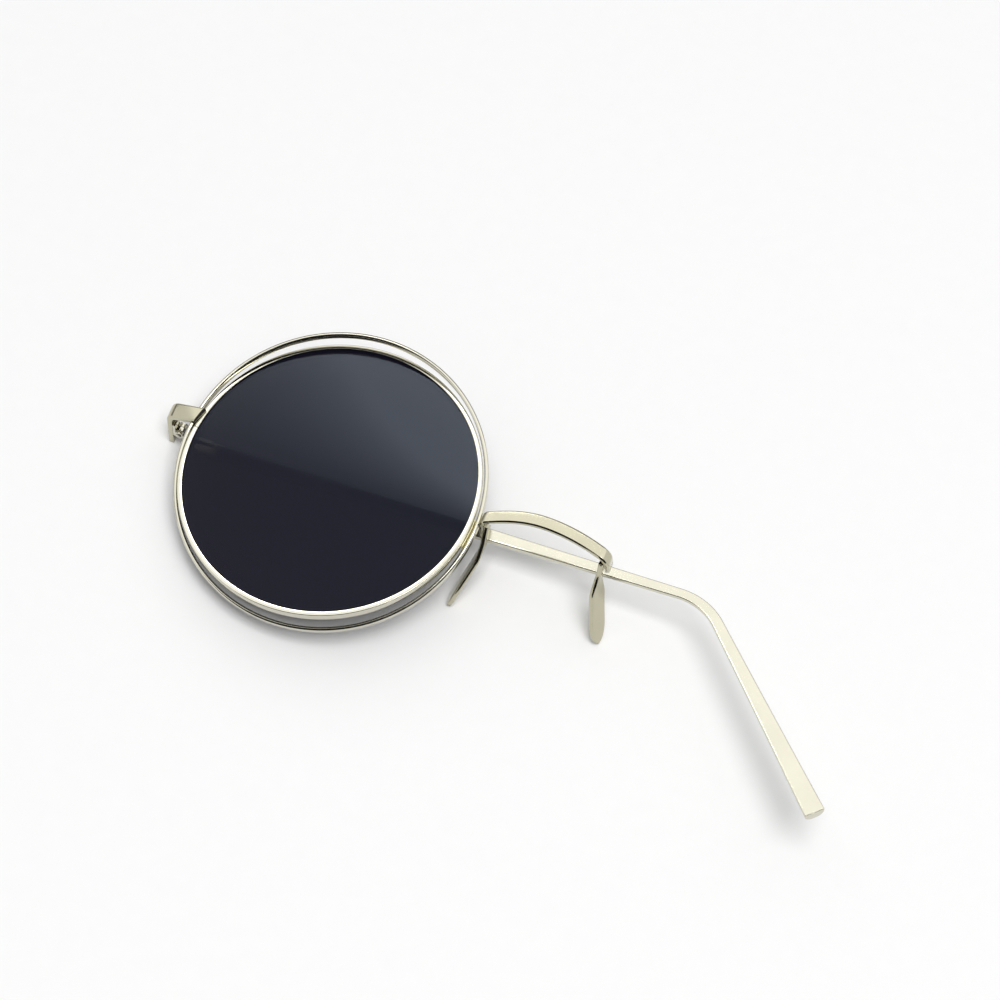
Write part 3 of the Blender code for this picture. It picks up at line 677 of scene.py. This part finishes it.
def seat_on_lens_rim(item, front):
    """Seats a piece on the lens rim."""
    inner = LENS_OPENING_RADIUS - SEAT_GAP
    outer = LENS_RIM_OUTSIDE + SEAT_GAP
    profile = [(inner, -LENS_RIM_DEPTH), (outer, -LENS_RIM_DEPTH), (outer, SEAT_GAP), (inner, SEAT_GAP)]
    mesh = hoop("seat", profile, [0] * len(profile))
    mesh.transform(front @ lens_rim_frame())
    cut(item, mesh)


def arc_points(centre, radius, start, end):
    """Points round a corner, from one angle to another in quarter turns."""
    points = []
    for k in range(CORNER_STEPS + 1):
        angle = (start + (end - start) * k / CORNER_STEPS) * math.pi / 2
        points.append((centre[0] + radius * math.cos(angle), centre[1] + radius * math.sin(angle)))
    return points


def lens_rim_profile():
    """Section of the lens rim: rounded outside, a V groove inside."""
    inner, outer, edge, back = LENS_OPENING_RADIUS, LENS_RIM_OUTSIDE, LENS_RIM_EDGE, -LENS_RIM_DEPTH
    lip = edge / 2
    corners = arc_points((outer - edge, back + edge), edge, 3, 4)
    corners += arc_points((outer - edge, -edge), edge, 0, 1)
    corners += arc_points((inner + lip, -lip), lip, 1, 2)
    groove = [(inner, -GROOVE_PLACE + GROOVE_WIDTH / 2), (inner + GROOVE_DEPTH, -GROOVE_PLACE),
              (inner, -GROOVE_PLACE - GROOVE_WIDTH / 2)]
    corners += groove
    corners += arc_points((inner + lip, back + lip), lip, 2, 3)
    wear = [1] * len(corners)
    return corners, wear


def make_lens_rim(front, finish):
    split = RIM_SPLIT / LENS_RIM_OUTSIDE
    profile, wear = lens_rim_profile()
    sections = turned(profile, RIM_SPLIT_ANGLE + split / 2, math.tau - split, RIM_STEPS)
    mesh = skin("lens_rim_channel", sections, wear, False)
    shade(mesh)
    add_piece(mesh, front @ lens_rim_frame(), finish, "front", "lens_rim")


def make_lens(front, finish):
    """Flat disc whose bevelled edge sits in the groove."""
    side = LENS_OPENING_RADIUS - SEAT_GAP
    slope = math.atan2(GROOVE_DEPTH, GROOVE_WIDTH / 2)
    peak = LENS_OPENING_RADIUS + GROOVE_DEPTH - SEAT_GAP / math.cos(slope)
    bevel = (peak - side) / math.tan(slope)
    levels = [(side, -LENS_RECESS - LENS_THICKNESS), (side, -GROOVE_PLACE - bevel), (peak, -GROOVE_PLACE)]
    if -LENS_RECESS > -GROOVE_PLACE + bevel:
        levels.append((side, -GROOVE_PLACE + bevel))
    levels.append((side, -LENS_RECESS))
    turns = [math.tau * k / RIM_STEPS for k in range(RIM_STEPS)]
    sections = []
    for radius, height in levels:
        ring = [Vector((radius * math.cos(turn), radius * math.sin(turn), height)) for turn in turns]
        sections.append(ring)
    mesh = skin("lens_glass", sections, [0] * RIM_STEPS, False)
    shade(mesh)
    add_piece(mesh, front @ lens_rim_frame(), finish, "front", "lens")


def make_rim_strut(front, finish):
    """Thin curved strip soldered between the rims on the nose side."""
    inside, outside = LENS_RIM_OUTSIDE + SEAT_GAP, OUTER_RIM_INSIDE - SEAT_GAP
    outline, wear = rounded_outline(outside - inside, STRUT_DEPTH, STRUT_EDGE)
    top = LENS_RIM_RISE / 2 - LENS_RIM_EDGE
    profile = [((inside + outside) / 2 + point.x, top - STRUT_DEPTH / 2 + point.y) for point in outline]
    sweep = STRUT_LENGTH / LENS_RIM_OUTSIDE
    mesh = skin("rim_strut_strip", turned(profile, STRUT_ANGLE - sweep / 2, sweep, STRUT_STEPS), wear, False)
    shade(mesh)
    add_piece(mesh, front, finish, "front", "rim_strut")


def leg_lean(height):
    """How far the endpiece's leg has moved down the face at a height below its bend."""
    return math.tan(PANTOSCOPIC_TILT) * min(0, height - ENDPIECE_HEIGHT + ENDPIECE_BEND)


def hinge_place():
    return ENDPIECE_PLACE + leg_lean(-HINGE_BACK) + HINGE_PLACE


def endpiece_path():
    """Outer line of the endpiece in X and Z, with the direction that its outside faces."""
    slope = Vector((-math.cos(ENDPIECE_SLOPE), -math.sin(ENDPIECE_SLOPE)))
    down = Vector((-math.sin(LEG_FLARE), -math.cos(LEG_FLARE)))
    normal = Vector((slope.y, -slope.x))
    start = Vector((-ENDPIECE_REACH, ENDPIECE_HEIGHT))
    foot = Vector((-ENDPIECE_OUT, -FOOT_BACK))
    corner = foot - down * ((foot - start).dot(normal) / down.dot(normal))
    turn = math.pi / 2 - LEG_FLARE - ENDPIECE_SLOPE
    setback = ENDPIECE_BEND * math.tan(turn / 2)
    centre = corner - slope * setback - normal * ENDPIECE_BEND
    stations = [(start, normal)]
    for k in range(BEND_STEPS + 1):
        outward = Matrix.Rotation(turn * k / BEND_STEPS, 2) @ normal
        stations.append((centre + outward * ENDPIECE_BEND, outward))
    stations.append((foot, Vector((down.y, -down.x))))
    return stations


def make_endpiece(front, finish):
    """Strip over both rims, bent back into the hinge's leg."""
    outline, wear = chamfered_outline(ENDPIECE_WIDTH, ENDPIECE_THICKNESS, STRIP_EDGE)
    sections = []
    for point, outward in endpiece_path():
        middle = point - outward * ENDPIECE_THICKNESS / 2
        centre = Vector((middle.x, ENDPIECE_PLACE + leg_lean(middle.y), middle.y))
        sections.append(place_outline(outline, centre, Vector((0, 1, 0)), Vector((outward.x, 0, outward.y))))
    for point in sections[0]:
        point.x += (point.y - ENDPIECE_PLACE) * math.tan(ENDPIECE_END_ANGLE)
    for point in sections[-1]:
        point.z = -FOOT_BACK - (point.y - hinge_place()) * math.tan(PANTOSCOPIC_TILT)
    strip = add_piece(skin("endpiece_strip", sections, wear, False), front, finish, "front", "endpiece")
    notch_for_outer_rim(strip, front)
    seat_on_lens_rim(strip, front)
    round_ends(strip)


def arch_share(share):
    """Rise of the bridge along its span: quick at first, then falling slowly to the right end."""
    if share < ARCH_PEAK_SHARE:
        return math.sin(math.pi / 2 * max(0, share) / ARCH_PEAK_SHARE) ** ARCH_RISE_POWER
    fall = (share - ARCH_PEAK_SHARE) / (1 - ARCH_PEAK_SHARE)
    return 1 - min(1, fall) ** ARCH_FALL_POWER


def bridge_path():
    """Outer line of the bridge in X and Z: up the rim, along the top and down the pad's leg."""
    level = BRIDGE_HEIGHT - BRIDGE_BEND
    left = Vector((BRIDGE_LEFT + BRIDGE_BEND, level))
    right = Vector((BRIDGE_RIGHT - BRIDGE_RIGHT_BEND, BRIDGE_HEIGHT - BRIDGE_RIGHT_BEND))
    stations = [(Vector((BRIDGE_LEFT, level - BRIDGE_RIM_LEG)), Vector((-1, 0)))]
    for centre, radius, start in ((left, BRIDGE_BEND, math.pi), (right, BRIDGE_RIGHT_BEND, math.pi / 2)):
        for k in range(BEND_STEPS + 1):
            angle = start - math.pi / 2 * k / BEND_STEPS
            outward = Vector((math.cos(angle), math.sin(angle)))
            stations.append((centre + outward * radius, outward))
        if centre is left:
            for k in range(1, ARCH_STEPS):
                across = left.x + (right.x - left.x) * k / ARCH_STEPS
                stations.append((Vector((across, BRIDGE_HEIGHT)), Vector((0, 1))))
    stations.append((Vector((BRIDGE_RIGHT, level - BRIDGE_PAD_LEG)), Vector((1, 0))))
    return stations


def make_bridge(front, finish):
    """Flat strip arched over the nose, its ends turned back to the rim and to the right pad."""
    outline, wear = chamfered_outline(BRIDGE_WIDTH, BRIDGE_THICKNESS, STRIP_EDGE)
    sections = []
    for point, outward in bridge_path():
        middle = point - outward * BRIDGE_THICKNESS / 2
        rise = BRIDGE_RISE * arch_share((middle.x - BRIDGE_LEFT) / BRIDGE_SPAN)
        centre = Vector((middle.x, BRIDGE_PLACE + rise, middle.y))
        sections.append(place_outline(outline, centre, Vector((0, 1, 0)), Vector((outward.x, 0, outward.y))))
    strip = add_piece(skin("bridge_strip", sections, wear, False), front, finish, "front", "bridge")
    notch_for_outer_rim(strip, front)
    round_ends(strip)


def eased(value):
    """A smooth step from 0 to 1."""
    value = max(0, min(1, value))
    return value * value * (3 - 2 * value)


def pad_size_shares(station):
    """Width and thickness of a pad along it, as shares of the full ones: neck, blade and round tip."""
    neck = eased((station - PAD_NECK_END_SHARE) / (PAD_FULL_SHARE - PAD_NECK_END_SHARE))
    width = PAD_NECK_WIDTH_SHARE + (1 - PAD_NECK_WIDTH_SHARE) * neck
    beyond = max(0, (station - PAD_TIP_START_SHARE) / (1 - PAD_TIP_START_SHARE))
    tip = math.sqrt(max(0, 1 - beyond ** PAD_TIP_POWER))
    return width * tip, 1 - (1 - PAD_TIP_THICKNESS_SHARE) * beyond ** PAD_TIP_POWER


def make_pad(name, node, face, side, reach, bow, front, finish):
    """Solid metal blade that leans back and down from the bridge; its back edge splays from the nose."""
    top = Vector((face, PAD_TOP_PLACE, BRIDGE_HEIGHT - BRIDGE_BEND - PAD_TOP_DROP))
    axis = Vector((0, reach.y, reach.z)).normalized()
    forward = Vector((0, axis.z, -axis.y))
    sections = []
    for k in range(PAD_STEPS + 1):
        station = math.sin(math.pi / 2 * k / PAD_STEPS) * (1 - 1 / PAD_STEPS ** 2)
        width_share, thickness_share = pad_size_shares(station)
        splay = PAD_SPLAY * eased((station - PAD_NECK_END_SHARE) / (PAD_FULL_SHARE - PAD_NECK_END_SHARE))
        across = forward * math.cos(splay) - Vector((side, 0, 0)) * math.sin(splay)
        thickness = PAD_THICKNESS * thickness_share
        width = max(PAD_WIDTH * width_share, thickness)
        outline, wear = rounded_outline(width, thickness, thickness * PAD_EDGE_SHARE)
        slide = eased(station)
        bulge = bow * hump(station) * min(1, station / PAD_ARM_SHARE)
        centre = top + Vector((reach.x * slide + bulge, reach.y * station, reach.z * station))
        sections.append(place_outline(outline, centre, across, axis.cross(across)))
    blade = add_piece(skin(name, sections, wear, False), front, finish, "front", node)
    round_ends(blade)


def make_nose_pads(front, finish):
    half = SEAT_GAP + PAD_THICKNESS / 2
    left_face = BRIDGE_LEFT + BRIDGE_THICKNESS + half
    right_face = BRIDGE_RIGHT - BRIDGE_THICKNESS - half
    left_reach = Vector((LEFT_PAD_SPREAD, -LEFT_PAD_DROP, -LEFT_PAD_DEPTH))
    right_reach = Vector((RIGHT_PAD_SPREAD, -RIGHT_PAD_DROP, -RIGHT_PAD_DEPTH))
    make_pad("left_pad_blade", "left_nose_pad", left_face, -1, left_reach, LEFT_PAD_BOW, front, finish)
    make_pad("right_pad_blade", "right_nose_pad", right_face, 1, right_reach, RIGHT_PAD_BOW, front, finish)


def hinge_matrix():
    """Place of the hinge's axis, which runs along this frame's Y, inside the endpiece's leg."""
    inner_face = -ENDPIECE_OUT + ENDPIECE_THICKNESS / math.cos(LEG_FLARE)
    inner_face += (FOOT_BACK - HINGE_BACK) * math.tan(LEG_FLARE)
    x = inner_face + HINGE_OFFSET / math.cos(LEG_FLARE)
    return Matrix.Translation((x, hinge_place(), -HINGE_BACK)) @ Matrix.Rotation(-PANTOSCOPIC_TILT, 4, "X")


def temple_size(along):
    """Width and thickness: tapering to a waist before the bend, then growing to the tip."""
    if along < TEMPLE_LENGTH:
        share = along / TEMPLE_LENGTH
        width = TEMPLE_ROOT_WIDTH + (TEMPLE_WAIST_WIDTH - TEMPLE_ROOT_WIDTH) * share
        return width, TEMPLE_ROOT_THICKNESS + (TEMPLE_WAIST_THICKNESS - TEMPLE_ROOT_THICKNESS) * share
    share = ((along - TEMPLE_LENGTH) / (EAR_BEND_RADIUS * EAR_BEND_ANGLE + EAR_LENGTH)) ** TIP_GROWTH_POWER
    width = TEMPLE_WAIST_WIDTH + (TEMPLE_TIP_WIDTH - TEMPLE_WAIST_WIDTH) * share
    return width, TEMPLE_WAIST_THICKNESS + (TEMPLE_TIP_THICKNESS - TEMPLE_WAIST_THICKNESS) * share


def temple_line():
    """Stations of the temple: centre in X and Y, heading, and how far along it each lies."""
    stations = []
    butt = JOINT_REACH + RUNNING_GAP
    for k in range(TEMPLE_STEPS + 1):
        along = butt + (TEMPLE_LENGTH - butt) * k / TEMPLE_STEPS
        half = temple_size(along)[0] / 2
        stations.append((Vector((along, TEMPLE_EDGE_PLACE - half)), 0, along))
    centre = stations[-1][0] - Vector((0, EAR_BEND_RADIUS))
    bend_length = EAR_BEND_RADIUS * EAR_BEND_ANGLE
    for k in range(1, EAR_BEND_STEPS + 1):
        angle = EAR_BEND_ANGLE * k / EAR_BEND_STEPS
        point = centre + EAR_BEND_RADIUS * Vector((math.sin(angle), math.cos(angle)))
        stations.append((point, angle, TEMPLE_LENGTH + bend_length * k / EAR_BEND_STEPS))
    heading = Vector((math.cos(EAR_BEND_ANGLE), -math.sin(EAR_BEND_ANGLE)))
    last = stations[-1][0]
    for k in range(1, EAR_STEPS + 1):
        reach = EAR_LENGTH * k / EAR_STEPS
        stations.append((last + heading * reach, EAR_BEND_ANGLE, TEMPLE_LENGTH + bend_length + reach))
    return stations


def make_temple(front, finish):
    """Strip, flat towards the lens when folded, square at the root and half-round at the tip."""
    sections = []
    for point, heading, along in temple_line():
        width, thickness = temple_size(along)
        share = along / (TEMPLE_LENGTH + EAR_BEND_RADIUS * EAR_BEND_ANGLE + EAR_LENGTH)
        power = ROOT_BELLY_POWER + (TIP_BELLY_POWER - ROOT_BELLY_POWER) * share
        outline, wear = belly_outline(width, thickness, power)
        across = Vector((math.sin(heading), math.cos(heading), 0))
        centre = Vector((point.x, point.y, -HINGE_OFFSET))
        sections.append(place_outline(outline, centre, across, Vector((0, 0, 1))))
    pivot = front @ hinge_matrix() @ Matrix.Rotation(math.pi / 2 - TEMPLE_FOLD, 4, "Y")
    strip = add_piece(skin("temple_strip", sections, wear, False), pivot, finish, "temple", "temple")
    round_ends(strip)


def dress_small_piece(node, finish):
    """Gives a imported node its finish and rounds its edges."""
    item = frame["nodes"][node]
    item.data.materials.clear()
    item.data.materials.append(finish)
    weld = item.modifiers.new("weld", "WELD")
    weld.merge_threshold = WELD_DISTANCE
    soften(item, SMALL_BEVEL)


def build_object(front):
    rim_metal = plated("rim_metal", RIM_GOLD, RIM_ROUGHNESS, RIM_GRAIN)
    strip_metal = plated("strip_metal", STRIP_GOLD, STRIP_ROUGHNESS, STRIP_GRAIN)
    temple_metal = plated("temple_metal", TEMPLE_GOLD, TEMPLE_ROUGHNESS, STRIP_GRAIN)
    solder_metal = plated("solder_metal", SOLDER_GOLD, SOLDER_ROUGHNESS, ROUGH_GRAIN)
    screw_metal = plated("screw_metal", SCREW_GREY, SCREW_ROUGHNESS, ROUGH_GRAIN)
    make_outer_rim(front, rim_metal)
    make_lens_rim(front, rim_metal)
    make_lens(front, smoked_glass())
    make_rim_strut(front, solder_metal)
    make_endpiece(front, strip_metal)
    make_bridge(front, strip_metal)
    make_nose_pads(front, strip_metal)
    make_temple(front, temple_metal)
    for node in ("rim_lock_upper", "rim_lock_lower", "hinge_leaf_front", "hinge_leaf_temple"):
        dress_small_piece(node, rim_metal)
    for node in ("rim_lock_screw", "hinge_screw"):
        dress_small_piece(node, screw_metal)


def matt_card(name, colour):
    """Matt card of the studio."""
    material, tree, shader, place = start_material(name)
    nap = ramp(tree, noise(tree, place, *NAP), *FIBRE_SPAN, *CARD_ROUGHNESS)
    tree.links.new(nap, shader.inputs["Roughness"])
    shader.inputs["Base Color"].default_value = colour
    shader.inputs["Specular IOR Level"].default_value = 0
    return material


def add_sheet(name, finish, width, height):
    """A flat stage sheet about its origin, facing its own Z."""
    x, y = width / 2, height / 2
    mesh = bpy.data.meshes.new(name)
    mesh.from_pydata([(-x, -y, 0), (x, -y, 0), (x, y, 0), (-x, y, 0)], [], [(0, 1, 2, 3)])
    mesh.materials.append(finish)
    sheet = bpy.data.objects.new(name, mesh)
    bpy.context.collection.objects.link(sheet)
    return sheet


def only_in_reflections(sheet):
    sheet.visible_camera = False
    sheet.visible_diffuse = False
    sheet.visible_transmission = False
    sheet.visible_shadow = False


def towards_camera(front, elevation):
    """Direction from the table's middle at an elevation, on the camera's side."""
    camera = front @ CAMERA_PLACE
    near = Vector((camera.x, camera.y, 0)).normalized()
    return near * math.cos(elevation) + Vector((0, 0, math.sin(elevation)))


def add_card(name, colour, direction, distance, width, height):
    """Card turned to the table's middle, which only reflections show."""
    card = add_sheet(name, matt_card(name, colour), width, height)
    card.location = direction * distance
    card.rotation_mode = "QUATERNION"
    card.rotation_quaternion = (-direction).to_track_quat("Z", "Y")
    only_in_reflections(card)


def add_cards(front):
    """Dark cards that draw the metal's edges: by the camera, beside the hinge and low on the far side."""
    near = towards_camera(front, NEAR_CARD_ELEVATION)
    add_card("near_card", CARD_BLACK, near, NEAR_CARD_DISTANCE, NEAR_CARD_WIDTH, NEAR_CARD_HEIGHT)
    side = towards_camera(front, SIDE_CARD_ELEVATION)
    side.rotate(Matrix.Rotation(SIDE_CARD_TURN, 3, "Z"))
    add_card("side_card", CARD_GREY, side, SIDE_CARD_DISTANCE, SIDE_CARD_WIDTH, SIDE_CARD_HEIGHT)
    far = -towards_camera(front, -FAR_CARD_ELEVATION)
    add_card("far_card", CARD_BLACK, far, FAR_CARD_DISTANCE, FAR_CARD_WIDTH, FAR_CARD_HEIGHT)


def pale_window():
    """Glow of the window: faint and soft at its left, bright and clear-edged at its right."""
    material, tree, shader, place = start_material("pale_window")
    split = tree.nodes.new("ShaderNodeSeparateXYZ")
    tree.links.new(place, split.inputs["Vector"])
    growth = maths(tree, "EXPONENT", maths(tree, "MULTIPLY", split.outputs["X"], WINDOW_GROWTH), 0)
    rise = maths(tree, "MULTIPLY", split.outputs["Y"], WINDOW_RISE)
    glow = ramp(tree, maths(tree, "MULTIPLY", rise, growth), 0, 1, WINDOW_FAINT, WINDOW_GLOW)
    tree.links.new(glow, shader.inputs["Emission Strength"])
    shader.inputs["Emission Color"].default_value = (1, 1, 1, 1)
    shader.inputs["Base Color"].default_value = (0, 0, 0, 1)
    shader.inputs["Specular IOR Level"].default_value = 0
    return material


def add_window():
    """A bright window whose lower edge the lens shows as a line across the glass."""
    window = add_sheet("window", pale_window(), 1, 1)
    for vertex in window.data.vertices:
        vertex.co.x = WINDOW_RIGHT if vertex.co.x > 0 else -WINDOW_LEFT
        vertex.co.y = WINDOW_HEIGHT if vertex.co.y > 0 else 0
    window.location = WINDOW_CORNER
    window.rotation_mode = "QUATERNION"
    facing = WINDOW_CORNER.normalized()
    window.rotation_quaternion = axes_from(facing, facing.cross(WINDOW_EDGE)).to_quaternion()
    only_in_reflections(window)


def add_lamp(name, place, side, width, height, power):
    """A soft rectangle of plain white, turned to the table's middle, its width along a side direction."""
    light = bpy.data.lights.new(name, "AREA")
    light.shape = "RECTANGLE"
    light.size = width
    light.size_y = height
    light.energy = power
    lamp = bpy.data.objects.new(name, light)
    bpy.context.collection.objects.link(lamp)
    lamp.location = place
    lamp.rotation_mode = "QUATERNION"
    lamp.rotation_quaternion = axes_from(place.normalized(), side).to_quaternion()
    lamp.visible_camera = False


def add_lamps(front):
    add_lamp("softbox", SOFTBOX_PLACE, Vector((0, 1, 0)), SOFTBOX_SIZE, SOFTBOX_SIZE, SOFTBOX_POWER)
    wall = -towards_camera(front, -WALL_ELEVATION) * WALL_DISTANCE
    add_lamp("pale_wall", wall, Vector((0, 0, 1)), WALL_WIDTH, WALL_HEIGHT, WALL_POWER)


def add_world():
    """A white surround, dimmer as a light than it looks to the camera, in metal and through glass."""
    world = bpy.data.worlds.new("surround")
    world.use_nodes = True
    tree = world.node_tree
    background = tree.nodes["Background"]
    background.inputs["Color"].default_value = (1, 1, 1, 1)
    path = tree.nodes.new("ShaderNodeLightPath")
    seen = maths(tree, "MAXIMUM", path.outputs["Is Camera Ray"], path.outputs["Is Glossy Ray"])
    seen = maths(tree, "MAXIMUM", seen, path.outputs["Is Transmission Ray"])
    tree.links.new(ramp(tree, seen, 0, 1, SURROUND_LIGHT, 1), background.inputs["Strength"])
    bpy.context.scene.world = world


def add_camera(front):
    data = bpy.data.cameras.new("camera")
    data.lens = CAMERA_LENS
    data.sensor_width = CAMERA_SENSOR
    data.clip_start, data.clip_end = CAMERA_NEAR, CAMERA_FAR
    camera = bpy.data.objects.new("camera", data)
    bpy.context.collection.objects.link(camera)
    across = (front.to_3x3() @ CAMERA_ACROSS).normalized()
    back = across.cross(front.to_3x3() @ CAMERA_UP).normalized()
    turn = Matrix((across, back.cross(across), back)).transposed()
    camera.rotation_mode = "QUATERNION"
    camera.rotation_quaternion = turn.to_quaternion()
    camera.location = front @ CAMERA_PLACE
    bpy.context.scene.camera = camera


def main():
    front = front_place()
    build_object(front)
    add_sheet("floor", paper(), 2 * FLOOR_REACH, 2 * FLOOR_REACH)
    add_cards(front)
    add_window()
    add_lamps(front)
    add_world()
    add_camera(front)
    bpy.context.scene.view_settings.view_transform = "Standard"


main()
